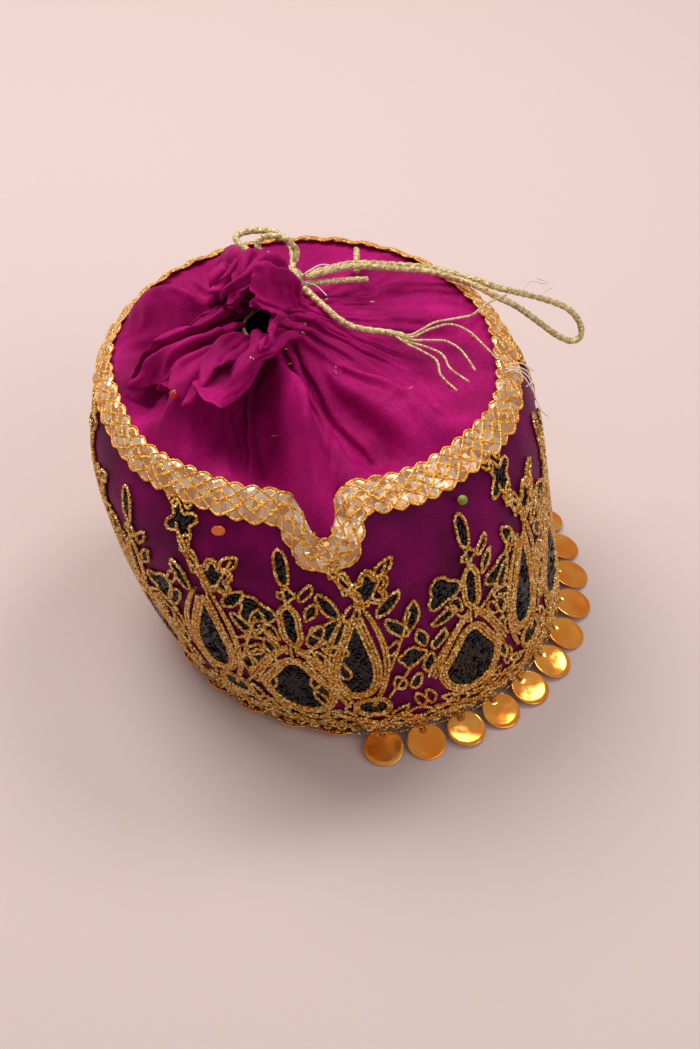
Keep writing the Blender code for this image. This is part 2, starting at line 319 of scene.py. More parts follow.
silk = clothMaterial("magentaSilk", (0.20, 0.0008, 0.065), (0.34, 0.002, 0.115), (0.50, 0.008, 0.18),
                     0.6, 0.05, (1.0, 0.2, 0.6), 0.5)
satin = clothMaterial("plumSatin", (0.075, 0.0002, 0.031), (0.135, 0.0003, 0.057), (0.21, 0.0008, 0.09),
                      0.5, 0.0, (0.9, 0.2, 0.6), 0.25)
liningCloth = clothMaterial("liningCloth", (0.16, 0.002, 0.05), (0.26, 0.004, 0.08), (0.34, 0.01, 0.12),
                            0.7, 0.2, (1.0, 0.3, 0.6), 0.5)
zari = glitterMaterial("zariGold", (0.40, 0.13, 0.004), (0.92, 0.40, 0.025), (1.0, 0.86, 0.42),
                       0.28, 0.8, 1500, 0.0006)
trimRibbon = glitterMaterial("trimRibbon", (0.66, 0.30, 0.13), (0.84, 0.47, 0.26), (1.0, 0.76, 0.54),
                             0.22, 0.75, 380, 0.00035)
trimThread = glitterMaterial("trimThread", (0.55, 0.20, 0.01), (0.90, 0.42, 0.05), (1.0, 0.62, 0.15),
                             0.38, 0.6, 1400, 0.0002)
strawCord = glitterMaterial("strawCord", (0.42, 0.29, 0.10), (0.64, 0.49, 0.22), (0.90, 0.76, 0.44),
                            0.5, 0.25, 1600, 0.00025)
blackSequin = newMaterial("blackSequin", (0.004, 0.0035, 0.005), 0.2, 0.0, IOR=1.4)[0]
mirrorGold, goldNodes, goldLinks, goldShader = newMaterial("mirrorGold", (0.95, 0.45, 0.06), 0.14, 0.8)
goldCloud = addNode(goldNodes, "ShaderNodeTexNoise", Scale=90.0, Detail=2.0)
goldLinks.new(addNode(goldNodes, "ShaderNodeTexCoord").outputs["Object"], goldCloud.inputs["Vector"])
goldTints = ((0.3, (1.0, 0.27, 0.02)), (0.7, (1.0, 0.48, 0.09)))
goldLinks.new(addRamp(goldNodes, goldLinks, goldCloud.outputs["Fac"], goldTints), goldShader.inputs["Base Color"])
addBump(goldNodes, goldLinks, goldShader, goldCloud.outputs["Fac"], 0.35, 0.0012)
orangeGlass = newMaterial("orangeSequin", (0.95, 0.22, 0.02), 0.15, 0.1, Transmission_Weight=0.3)[0]
redGlass = newMaterial("redGlass", (0.75, 0.02, 0.01), 0.08, 0.0, Transmission_Weight=0.6)[0]
greenGlass = newMaterial("greenGlass", (0.35, 0.45, 0.03), 0.08, 0.0, Transmission_Weight=0.5)[0]
whiteThread = newMaterial("whiteThread", (0.75, 0.68, 0.62), 0.7)[0]
print("materials made")

# ---- camera, floor and light
view = {"target": (-0.005, -0.011, 0.045), "distance": 0.65, "elevation": 45.0, "lens": 60.7}


def buildStage():
    data = bpy.data.cameras.new("camera")
    data.lens = view["lens"]
    data.sensor_fit = "VERTICAL"
    data.sensor_height = 36
    camera = addObject("camera", data)
    rise = math.radians(view["elevation"])
    camera.location = Vector(view["target"]) + Vector((0, -math.cos(rise), math.sin(rise))) * view["distance"]
    camera.rotation_euler = (math.pi / 2 - rise, 0, 0)
    scene.camera = camera
    bm = bmesh.new()
    bmesh.ops.create_grid(bm, x_segments=2, y_segments=2, size=3.0)
    floorMaterial = newMaterial("paleFloor", (0.67, 0.55, 0.525), 0.9)[0]
    floor = addObject("floor", meshOf(bm, "floor"), floorMaterial)
    for name, place, size, power, colour in (
        ("keyLight", (-0.40, 0.40, 0.95), 0.55, 7.5, (1.0, 0.95, 0.90)),
        ("fillLight", (0.75, -0.65, 0.75), 0.9, 3.0, (1.0, 0.96, 0.94)),
        ("topLight", (0.35, 0.45, 1.0), 0.30, 3.5, (1.0, 0.97, 0.94)),
    ):
        lamp = bpy.data.lights.new(name, "AREA")
        lamp.energy, lamp.size, lamp.color = power, size, colour
        holder = addObject(name, lamp)
        holder.location = place
        holder.rotation_euler = (Vector((0, 0, 0.05)) - Vector(place)).to_track_quat("-Z", "Y").to_euler()
    world = bpy.data.worlds.new("softRoom")
    world.use_nodes = True
    background = world.node_tree.nodes["Background"]
    background.inputs[0].default_value = (0.95, 0.88, 0.86, 1)
    background.inputs[1].default_value = 0.40
    scene.world = world
    scene.view_settings.view_transform = "Standard"


buildStage()

# ---- the seam between the dark wall and the light neck cloth
seam = {
    "height": 105.5,
    "vTurn": 4.0,     # degrees round to the point of the V
    "vHalf": 9.8,
    "vDepth": 14.0,
    "rolledUp": 3.5,  # how much higher the seam runs at the back
    "wallGap": 1.6,   # the wall ends this far under the seam
    "neckGap": 1.2,   # and the neck cloth starts this far under it
}
seamTop = float(reachAtHeight(seam["height"]))
seamRadius = bagShape["flatRadius"] * 0.94    # what a degree of turn is worth along the seam


def seamReach(turn):
    off = np.abs((np.degrees(turn) - seam["vTurn"] + 180) % 360 - 180)
    dip = np.clip(1.35 * (1 - off / seam["vHalf"]), 0, 1)
    ripple = 0.7 * np.sin(4 * turn + 0.5) + 0.5 * np.sin(9 * turn)
    rolledUp = seam["rolledUp"] * (0.5 - 0.5 * np.cos(turn)) ** 2
    return seamTop + rolledUp + ripple * (1 - dip) - seam["vDepth"] * dip * dip * (3 - 2 * dip)


# ---- dark wall
def buildWall():
    mesh = wrappedGrid(
        "darkWall", 240, 56,
        lambda turn, share: clothPoints(turn, share * (seamReach(turn) - seam["wallGap"]), 0.0),
    )
    wall = addObject("darkWall", mesh, satin)
    addThickness(wall, 0.9)
    placeOn(wall, "root", "plum_satin", "body_cloth")


buildWall()
for nodeName, nodeCloth in (("base_panel", silk), ("lining", liningCloth)):
    nodeMaterials = frame["nodes"][nodeName].data.materials
    nodeMaterials.clear()
    nodeMaterials.append(nodeCloth)
print("wall made")

# ---- gota trim: four flat ribbons braided in a band, each bound with orange thread
trim = {
    "strands": 4,
    "period": 23.0,   # mm along the seam for one full crossing
    "swing": 3.35,
    "ribbon": 3.9,
    "dome": 0.35,
    "over": 0.38,     # how far a ribbon rises where it passes over another
    "thread": 0.36,
    "step": 1.0,
}


def seamPath(count=2400):
    turns = np.linspace(0, math.tau, count + 1)
    path = np.stack([turns * seamRadius, seamReach(turns)], 1)
    run = np.concatenate([[0], np.cumsum(np.hypot(*np.diff(path, axis=0).T))])
    return turns, path, run


seamTurns, seamLine, seamRun = seamPath()
bandLength = seamRun[-1]


def wrapOnSeam(flat):
    # x runs along the seam, y across it and z out of the cloth
    turn = np.interp(flat[:, 0] % bandLength, seamRun, seamTurns)
    ahead = np.interp((flat[:, 0] + 2.0) % bandLength, seamRun, seamTurns)
    behind = np.interp((flat[:, 0] - 2.0) % bandLength, seamRun, seamTurns)
    wide = (ahead - behind) % math.tau * seamRadius
    tall = seamReach(ahead) - seamReach(behind)
    size = np.hypot(wide, tall)
    across = flat[:, 1]
    turn = turn - across * tall / size / seamRadius
    reach = np.interp(flat[:, 0] % bandLength, seamRun, seamLine[:, 1]) + across * wide / size
    return clothPoints(turn, reach, flat[:, 2])


def buildTrim():
    count = round(bandLength / trim["step"])
    laps = round(bandLength / trim["period"])
    ribbons, threads = [], []
    for strand in range(trim["strands"]):
        def strandPlace(along, side, lift, strand=strand):
            phase = math.tau * (laps * along / bandLength + strand / trim["strands"])
            swing = trim["swing"] * np.arcsin(0.97 * np.sin(phase)) / math.asin(0.97)
            slope = np.cos(phase)
            over = trim["over"] * np.sin(2 * phase + math.pi / 4 + math.pi * (strand % 2))
            return np.stack([along - 0.35 * side * slope, swing + side * 0.94, 1.05 + over + lift], -1)

        bm = bmesh.new()
        bmesh.ops.create_grid(bm, x_segments=count, y_segments=6, size=0.5)
        mesh = meshOf(bm, "ribbon")
        flat = meshPoints(mesh)
        side = flat[:, 1] * trim["ribbon"]
        dome = trim["dome"] * (1 - (2 * flat[:, 1]) ** 2)
        setPoints(mesh, wrapOnSeam(strandPlace((flat[:, 0] + 0.5) * bandLength, side, dome)))
        ribbons.append(mesh)
        for edge in (-0.5, 0.5):
            along = np.arange(count) * bandLength / count
            curve = newCurve(trim["thread"])
            addLine(curve, strandPlace(along, np.full(count, edge * trim["ribbon"]), np.full(count, 0.12)))
            mesh = evaluatedMesh(addObject("thread", curve))
            setPoints(mesh, wrapOnSeam(meshPoints(mesh)))
            threads.append(mesh)
    mesh = joinedMesh("gotaRibbons", ribbons)
    band = addObject("gotaRibbons", mesh, trimRibbon)
    addThickness(band, 0.25)
    placeOn(band, "root", "gota_braid", "gota_trim")
    edging = addObject("gotaThreads", joinedMesh("gotaThreads", threads), trimThread)
    placeOn(edging, "root", "gota_braid")


buildTrim()
print("trim made")

# ---- zari lace: motifs drawn flat in mm, then wrapped on the cloth
# x runs round the bag and y up from the hem
lace = {
    # degrees round from the front, where each motif's foot is sewn
    "drops": (-36, 1, 52, 97, 142.5, 188, 233, 278.5),
    "medallions": (-14, 32, 75, 120, 165, 211, 256, 301),
    "twist": 0.0019,  # how much the motifs lean, radians for each mm up
    "cord": 0.70,
    "beat": (1.0, 0.72, 0.95, 0.66),  # thick and thin by turns, as wound metal thread is
    "sequin": 1.25,
    "sequinPitch": 2.0,
}


def turned(points, centre, degrees):
    angle = math.radians(degrees)
    matrix = np.array([[math.cos(angle), -math.sin(angle)], [math.sin(angle), math.cos(angle)]])
    return points @ matrix.T + centre


def dropOutline(x, y, wide, tall, degrees=0, count=40):
    t = np.linspace(0, math.tau, count, endpoint=False)
    points = np.stack([wide / 2 * np.sin(t) * np.sin(t / 2) ** 1.6 * 1.25, tall / 2 * np.cos(t)], 1)
    return turned(points, (x, y), degrees)


def leafOutline(x, y, wide, tall, degrees=0, count=24):
    t = np.linspace(0, math.tau, count, endpoint=False)
    points = np.stack([wide / 2 * np.sin(t) * np.abs(np.sin(t)) ** 0.4, tall / 2 * np.cos(t)], 1)
    return turned(points, (x, y), degrees)


def flowerOutline(x, y, radius, lobes, degrees=0, depth=0.22, squash=1.0, count=48):
    t = np.linspace(0, math.tau, count, endpoint=False)
    r = radius * (1 - depth + depth * np.cos(lobes * t))
    return turned(np.stack([r * np.sin(t), r * np.cos(t) * squash], 1), (x, y), degrees)


def medallionOutline(x, y, wide, tall, count=56):
    t = np.linspace(0, math.tau, count, endpoint=False)
    upper = np.clip(np.cos(t), 0, None)
    r = 1 + 0.30 * upper**6
    return np.stack([x + wide / 2 * r * np.sin(t) * (1 - 0.35 * upper), y + tall / 2 * r * np.cos(t)], 1)


def grown(outline, by):
    ahead, behind = np.roll(outline, -1, 0), np.roll(outline, 1, 0)
    tangent = ahead - behind
    normal = np.stack([-tangent[:, 1], tangent[:, 0]], 1) / np.hypot(*tangent.T)[:, None]
    if (normal * (outline - outline.mean(0))).sum() < 0:
        normal = -normal
    return outline + normal * by


dropMotif = (
    # outline, rounds of cord, filled with sequins
    (dropOutline(0, 46, 13, 40), 3, True),
    (flowerOutline(4.5, 76, 5.6, 5, 10), 2, True),
    (leafOutline(-8.5, 71, 4.2, 12, 32), 1, True),
    (leafOutline(-3.5, 79, 3.4, 8, 8), 1, True),
    (leafOutline(-6.5, 84.5, 3.0, 7, -20), 1, False),
    (flowerOutline(-9.0, 91, 6.6, 4, 30, 0.26), 1, True),
    (leafOutline(-13.5, 97.5, 4.0, 7, 35), 1, True),
    (leafOutline(-7.0, 99, 3.8, 7, -8), 1, True),
    (leafOutline(10.5, 69, 4.6, 11, -38), 1, True),
    (leafOutline(13.5, 58, 4.4, 12, 40), 1, True),
    (leafOutline(18.5, 61, 4.6, 13, -6), 1, True),
    (leafOutline(9.0, 82.5, 3.4, 8, -50), 1, False),
    (flowerOutline(18.5, 42, 5.0, 4, 0, 0.12), 1, True),
    (leafOutline(14.0, 29, 4.2, 8, 12), 1, True),
    (leafOutline(20.0, 28, 4.0, 8, -14), 1, True),
    (leafOutline(-12.5, 22, 3.6, 10, 20), 1, True),
    (leafOutline(-13.5, 34, 3.6, 11, -6), 1, True),
    (leafOutline(-13.0, 46, 3.8, 10, 12), 1, True),
    (leafOutline(-12.0, 58, 4.2, 11, -24), 1, True),
    (flowerOutline(4.0, 17, 7.0, 2, 90, 0.2, 0.72), 2, True),
    (leafOutline(-6.0, 12.5, 3.2, 7, 60), 1, False),
    (leafOutline(13.0, 12.5, 3.4, 8, -50), 1, True),
    (leafOutline(20.5, 17, 3.4, 8, 20), 1, False),
    (leafOutline(22.0, 50, 3.6, 9, 15), 1, True),
    (leafOutline(12.0, 48.5, 3.2, 8, -25), 1, False),
)
medallionMotif = (
    (medallionOutline(0, 27, 21, 25), 3, True),
    (leafOutline(0, 62, 5.0, 17, 8), 2, True),
    (flowerOutline(-1.0, 75, 2.9, 4, 0), 1, True),
    (leafOutline(-3.0, 84, 4.6, 12, 14), 1, True),
    (leafOutline(4.6, 76, 3.0, 7, -30), 1, False),
    (flowerOutline(12.5, 60, 6.6, 3, -35, 0.2), 1, True),
    (flowerOutline(-11.5, 66, 6.9, 3, 25, 0.2), 1, True),
    (leafOutline(14.0, 51, 4.0, 9, 70), 1, True),
    (leafOutline(-10.5, 55.5, 4.2, 10, -72), 1, True),
    (leafOutline(-12.5, 46, 4.0, 9, -30), 1, True),
    (leafOutline(9.5, 47, 3.4, 8, 30), 1, False),
    (leafOutline(-16.5, 36, 4.0, 10, -8), 1, True),
    (leafOutline(16.0, 40, 3.8, 9, 10), 1, True),
    (leafOutline(-9.5, 12.0, 3.4, 8, 50), 1, True),
    (leafOutline(9.5, 12.0, 3.4, 8, -50), 1, True),
    (leafOutline(-17.0, 17, 3.4, 8, 12), 1, False),
    (leafOutline(16.5, 17, 3.4, 8, -12), 1, False),
    (leafOutline(6.5, 69, 3.4, 8, -25), 1, True),
    (leafOutline(18.5, 68, 3.0, 7, -30), 1, False),
    (leafOutline(-6.0, 58, 3.4, 8, 30), 1, True),
)


def wander(points, amount, seed):
    # a hand-guided needle never draws the same line twice
    rng = np.random.default_rng(seed)
    count = len(points)
    t = np.linspace(0, math.tau, count, endpoint=False)
    moved = points.copy()
    for axis in range(2):
        for wave in (2, 3, 5):
            moved[:, axis] += amount / wave * rng.normal() * np.sin(wave * t + rng.uniform(0, 6))
    return moved


def resampled(points, step, closed):
    if closed:
        points = np.vstack([points, points[:1]])
    run = np.concatenate([[0], np.cumsum(np.hypot(*np.diff(points, axis=0).T))])
    count = max(6, round(run[-1] / step))
    stations = np.linspace(0, run[-1], count, endpoint=not closed)
    return np.stack([np.interp(stations, run, points[:, k]) for k in range(2)], 1)


def laceCords(motif, seed):
    # every outline as gold cord, with its rounds side by side
    cords = []
    for number, (outline, rounds, _) in enumerate(motif):
        line = wander(outline, 0.45, seed + number)
        for lap in range(rounds):
            cords.append((grown(line, 1.15 * lap), True, 0.75 + 0.10 * (lap % 2)))
    return cords


def dropStems():
    up = np.linspace(0, 1, 12)
    lines = []
    for side, reachOut in ((-1, 8.5), (1, 9.5)):
        for lap in (0, 1):
            bow = side * (reachOut + 1.25 * lap)
            lines.append(np.stack([bow * np.sin(np.pi * (0.12 + 0.80 * up)) ** 0.8, 18 + 50 * up], 1))
    lines.append(np.stack([3 - 12 * up + 2 * np.sin(5 * up), 68 + 22 * up], 1))
    lines.append(np.stack([1.5 - 9 * up + 2 * np.sin(5 * up), 66 + 20 * up], 1))
    lines.append(np.stack([4 + 6 * up, 70 + 14 * up], 1))
    lines.append(np.stack([8 + 10 * up, 30 + 34 * up**1.2], 1))
    lines.append(np.stack([10 + 9 * up, 22 + 16 * up], 1))
    lines.append(np.stack([-3 - 7 * up, 22 + 12 * up], 1))
    return lines


def medallionStems():
    up = np.linspace(0, 1, 14)
    lines = []
    for lap in range(3):
        for side in (-1, 1):
            lines.append(np.stack([side * (1.0 + (13.5 + 1.2 * lap) * up), 50 + lap * 1.1 - 24 * up**1.5], 1))
    lines.append(np.stack([-0.5 * up, 44 + 10 * up], 1))
    lines.append(np.stack([-1.5 - 9 * up, 48 + 12 * up], 1))
    lines.append(np.stack([1.5 + 10 * up, 48 + 8 * up], 1))
    lines.append(np.stack([-1 - 1.5 * up, 70 + 8 * up], 1))
    return lines


def flatCordMesh(cords):
    curve = newCurve(lace["cord"])
    for line, closed, lift in cords:
        points = resampled(line, 0.75, closed)
        radii = [lace["beat"][k % 4] * random.uniform(0.92, 1.1) for k in range(len(points))]
        addLine(curve, np.column_stack([points, np.full(len(points), lift)]), radii, closed)
    return evaluatedMesh(addObject("cords", curve))


def insideOutline(outline, x, y):
    inside = False
    for (x0, y0), (x1, y1) in zip(outline, np.roll(outline, -1, 0)):
        if (y0 > y) != (y1 > y) and x < (x1 - x0) * (y - y0) / (y1 - y0) + x0:
            inside = not inside
    return inside


def flatSequinMesh(motif):
    bm = bmesh.new()
    pitch = lace["sequinPitch"]
    for outline, _, filled in motif:
        if not filled:
            continue
        inner = grown(outline, -0.4)
        low, high = inner.min(0), inner.max(0)
        row = 0
        y = low[1] + 0.3
        while y < high[1]:
            x = low[0] + (pitch / 2 if row % 2 else 0)
            while x < high[0]:
                if insideOutline(inner, x, y):
                    tilt = Matrix.Rotation(random.uniform(-0.35, 0.35), 4, "X") @ Matrix.Rotation(
                        random.uniform(-0.35, 0.35), 4, "Y")
                    spot = Matrix.Translation((x + random.uniform(-0.2, 0.2), y + random.uniform(-0.2, 0.2),
                                               0.55 + random.uniform(0, 0.25)))
                    circle = bmesh.ops.create_circle(bm, cap_ends=True, segments=10, radius=lace["sequin"],
                                                     matrix=spot @ tilt)["verts"]
                    faces = list({face for vertex in circle for face in vertex.link_faces})
                    bmesh.ops.inset_region(bm, faces=faces, thickness=lace["sequin"] * 0.72, depth=-0.12)
                x += pitch
            y += pitch * 0.86
            row += 1
    return meshOf(bm, "sequins", smooth=False)


def wrapMotif(flat, turn):
    points = meshPoints(flat)
    mesh = flat.copy()
    turns = turn + points[:, 0] / bagShape["flatRadius"] + lace["twist"] * points[:, 1]
    # nothing of the lace climbs past the middle of the trim
    reach = np.minimum(points[:, 1], seamReach(turns) - 1.5)
    setPoints(mesh, clothPoints(turns, reach, points[:, 2]))
    return mesh


def buildLace():
    for name, motif, stems, places, seed in (
        ("Drops", dropMotif, dropStems(), lace["drops"], 10),
        ("Medallions", medallionMotif, medallionStems(), lace["medallions"], 60),
    ):
        cords = laceCords(motif, seed) + [(line, False, 0.7) for line in stems]
        goldFlat, sequinFlat = flatCordMesh(cords), flatSequinMesh(motif)
        turns = [math.radians(place) for place in places]
        for half, part in (("A", turns[:4]), ("B", turns[4:])):
            gold = addObject(f"lace{name}{half}", joinedMesh("gold", [wrapMotif(goldFlat, t) for t in part]), zari)
            if (name, half) == ("Drops", "A"):
                placeOn(gold, "root", "zari_lace", "lace_border")
            else:
                placeOn(gold, "root", "zari_lace")
            black = addObject(f"sequins{name}{half}",
                              joinedMesh("black", [wrapMotif(sequinFlat, t) for t in part]), blackSequin)
            addThickness(black, 0.08)
            placeOn(black, "root", "zari_lace")


buildLace()
print("lace motifs made")


def buildHem():
    # the lace's foot: wavy rounds of cord and a row of small hanging loops
    along = np.linspace(0, math.tau * bagShape["flatRadius"], 1400, endpoint=False)
    turn = along / bagShape["flatRadius"]
    flats = []
    for base, swell, waves, shift, lift in (
        (1.2, 0.7, 88, 0.0, 0.8), (2.6, 0.9, 64, 1.0, 1.1), (4.4, 1.2, 48, 2.0, 0.9), (6.2, 1.5, 40, 0.5, 1.0),
        (8.2, 1.8, 32, 1.7, 0.8), (10.4, 2.2, 32, 4.8, 0.9),
    ):
        points = resampled(np.stack([along, base + swell * np.sin(waves * turn + shift)], 1), 0.9, False)
        radii = [lace["beat"][k % 4] for k in range(len(points))]
        curve = newCurve(lace["cord"])
        addLine(curve, np.column_stack([points, np.full(len(points), lift)]), radii)
        mesh = evaluatedMesh(addObject("hem", curve))
        flat = meshPoints(mesh)
        setPoints(mesh, clothPoints(flat[:, 0] / bagShape["flatRadius"], flat[:, 1], flat[:, 2]))
        flats.append(mesh)
    hem = addObject("laceFoot", joinedMesh("laceFoot", flats), zari)
    placeOn(hem, "root", "zari_lace")
    bm = bmesh.new()
    loops = 96
    for k in range(loops):
        turn = math.tau * (k + 0.5) / loops
        centre = Vector(clothPoints(turn, 2.3, 0.9))
        out = Matrix.Rotation(turn - math.pi / 2, 4, "Z")
        mesh = ringMesh(1.6, 0.45, 12, 6)
        mesh.transform(Matrix.Translation(centre) @ out @ Matrix.Rotation(math.radians(62), 4, "Y"))
        bm.from_mesh(mesh)
        bpy.data.meshes.remove(mesh)
    edge = addObject("laceEdgeLoops", meshOf(bm, "laceEdgeLoops"), zari)
    placeOn(edge, "root", "zari_lace")


def ringMesh(radius, thickness, segments, sides):
    # a small ring round the Z axis, in mm
    bm = bmesh.new()
    bmesh.ops.create_circle(bm, segments=sides, radius=thickness * mm,
                            matrix=Matrix.Translation((radius * mm, 0, 0)) @ Matrix.Rotation(math.pi / 2, 4, "X"))
    bmesh.ops.spin(bm, geom=bm.verts[:] + bm.edges[:], axis=(0, 0, 1), cent=(0, 0, 0),
                   angle=math.tau, steps=segments, use_merge=True)
    bmesh.ops.remove_doubles(bm, verts=bm.verts, dist=0.001 * mm)
    bmesh.ops.recalc_face_normals(bm, faces=bm.faces)
    return meshOf(bm, "ring")


buildHem()
print("lace foot made")

# ---- hem discs: thin dished mirrors on the hem thread, each riding on its own hinge
disc = {"across": 14.2, "thickness": 0.35, "dish": 0.35, "hole": 1.0, "hang": 5.6}


def discMesh():
    # the thread hole's centre is the origin and the disc reaches along +X
    bm = bmesh.new()
    bmesh.ops.create_circle(bm, cap_ends=False, segments=48, radius=disc["hole"] * mm)
    bmesh.ops.create_circle(bm, cap_ends=False, segments=48, radius=disc["across"] / 2 * mm,
                            matrix=Matrix.Translation((disc["hang"] * mm, 0, 0)))
    bmesh.ops.bridge_loops(bm, edges=bm.edges[:])
    bmesh.ops.subdivide_edges(bm, edges=[e for e in bm.edges if len(e.link_faces) == 2], cuts=5, use_grid_fill=True)
    for vertex in bm.verts:
        away = (vertex.co - Vector((disc["hang"] * mm, 0, 0))).length / (disc["across"] / 2 * mm)
        vertex.co.z = -disc["dish"] * mm * (1 - min(away, 1.0) ** 2)
    bmesh.ops.recalc_face_normals(bm, faces=bm.faces)
    return meshOf(bm, "disc")


def buildDiscs():
    for joint in frame["joints"]:
        name = joint["child"]
        node = frame["nodes"][name]
        hinge = Vector(joint["pos_m"])
        axis = Vector(joint["axis"]).normalized()
        reach = Vector(meshPoints(node.data).mean(0)) - hinge
        reach = (reach - axis * reach.dot(axis)).normalized()
        normal = reach.cross(axis)
        if normal.z < 0:
            normal = -normal
        spin = Matrix((reach, normal.cross(reach), normal)).transposed().to_4x4()
        mesh = discMesh()
        mesh.transform(Matrix.Translation(hinge) @ spin)
        mirror = addObject(f"mirror_{name[-2:]}", mesh, mirrorGold)
        addThickness(mirror, disc["thickness"], 0.0)
        bevel = mirror.modifiers.new("Rim", "BEVEL")
        bevel.width, bevel.segments, bevel.limit_method = 0.08 * mm, 1, "ANGLE"
        placeOn(mirror, name, "gold_disc", name)
        loop = ringMesh(0.85, 0.16, 14, 6)
        loop.transform(Matrix.Translation(hinge + reach * 0.25 * mm) @ spin @ Matrix.Rotation(math.pi / 2, 4, "X"))
        placeOn(addObject(f"threadLoop_{name[-2:]}", loop, strawCord), name, "straw_cord")
    first = frame["joints"][0]["pos_m"]
    thread = ringMesh(math.hypot(first[0], first[1]) / mm, 0.3, 180, 6)
    thread.transform(Matrix.Translation((0, 0, first[2])))
    placeOn(addObject("hemThread", thread, zari), "root", "zari_lace")


buildDiscs()
print("discs made")

# ---- cords
routes = {
    "longLoop": (
        (-20.2, 30.0, 128.2), (-13.8, 35.0, 126.4), (-3.2, 44.0, 122.4), (13.5, 49.4, 117.6),
        (24.2, 51.4, 114.8), (33.0, 50.6, 112.8), (41.5, 48.8, 111.2), (48.8, 47.4, 109.0),
        (56.5, 49.0, 105.6), (65.6, 51.5, 101.0), (75.4, 52.6, 95.8), (80.6, 51.3, 90.4),
        (81.6, 48.5, 86.0), (78.3, 47.0, 84.3), (72.5, 46.4, 87.4), (66.4, 46.4, 92.6),
        (60.4, 45.6, 98.4), (54.6, 44.6, 103.6), (48.2, 43.4, 108.0), (41.0, 44.6, 111.8),
        (32.4, 46.6, 114.0), (23.4, 47.6, 116.2), (12.8, 45.6, 118.8), (-3.4, 39.6, 124.4),
        (-13.6, 31.2, 128.4), (-20.4, 26.6, 129.4),
    ),
    "shortLoop": (
        (-30.4, 28.6, 132.0), (-34.6, 31.2, 134.6), (-37.2, 33.4, 137.8), (-35.6, 34.8, 140.2),
        (-31.2, 35.2, 140.6), (-26.6, 34.6, 139.2), (-23.8, 33.0, 136.0), (-24.2, 30.6, 132.8),
    ),
    "backLoop": (
        (-31.6, 31.0, 128.2), (-38.0, 36.6, 131.0), (-44.6, 42.4, 132.4), (-45.0, 47.0, 132.6),
        (-39.4, 50.2, 132.2), (-32.0, 50.4, 131.2), (-26.6, 46.4, 129.4), (-25.2, 39.4, 127.8),
        (-25.6, 32.6, 127.2),
    ),
    "tail": (
        (-21.2, 24.4, 126.6), (-17.8, 20.0, 126.0), (-13.2, 14.4, 125.2), (-8.6, 10.4, 123.4),
        (-4.0, 8.6, 121.8), (2.0, 8.6, 120.2), (8.4, 8.6, 119.2), (14.2, 7.4, 118.4),
    ),
    "strands": (
        ((15.8, 8.6, 118.2), (20.5, 13.0, 117.4), (25.0, 17.4, 116.8), (32.0, 20.4, 116.0), (38.0, 24.2, 114.6),
         (42.0, 31.0, 112.6), (47.0, 38.0, 110.6), (52.0, 43.0, 109.0)),
        ((16.2, 7.4, 118.2), (22.7, 12.4, 117.6), (30.0, 16.4, 116.6), (36.5, 14.0, 115.4), (41.6, 8.4, 113.6),
         (46.6, 3.0, 111.4)),
        ((16.0, 6.2, 118.0), (22.0, 6.6, 117.4), (28.4, 7.0, 116.6), (33.6, 3.4, 115.2), (38.0, -4.6, 113.2)),
        ((15.4, 5.2, 117.8), (20.4, 3.4, 117.4), (26.6, 0.2, 116.4), (29.4, -6.0, 115.2), (35.6, -10.4, 113.0)),
        ((14.6, 4.6, 117.6), (19.0, 1.6, 117.2), (24.6, -2.8, 116.2), (26.0, -9.6, 115.2), (31.2, -15.4, 113.4)),
    ),
    "knotEnds": (
        ((-27.0, 28.0, 128.5), (-30.0, 30.0, 131.5), (-32.5, 31.0, 134.5), (-34.5, 31.5, 136.5)),
        ((-24.0, 25.0, 127.0), (-17.0, 28.0, 126.0), (-9.0, 32.0, 123.8), (-3.0, 35.0, 122.0), (1.5, 36.5, 121.0)),
        ((-27.5, 25.0, 125.5), (-28.0, 21.5, 126.5), (-27.0, 18.5, 127.5)),
    ),
    "casingTie": ((-2.6, 62.6, 115.2), (-2.6, 57.0, 116.2), (-2.6, 50.4, 117.4), (-2.6, 44.8, 118.0)),
}
cordFacts = {"diameter": 2.5, "strand": 0.9, "twist": 7.0, "step": 0.6}


def smoothRoute(points, step):
    _, fine = smoothTable(points, 0.04)
    run = np.concatenate([[0], np.cumsum(np.linalg.norm(np.diff(fine, axis=0), axis=1))])
    stations = np.linspace(0, run[-1], max(4, round(run[-1] / step)) + 1)
    return np.stack([np.interp(stations, run, fine[:, k]) for k in range(3)], 1), float(run[-1])


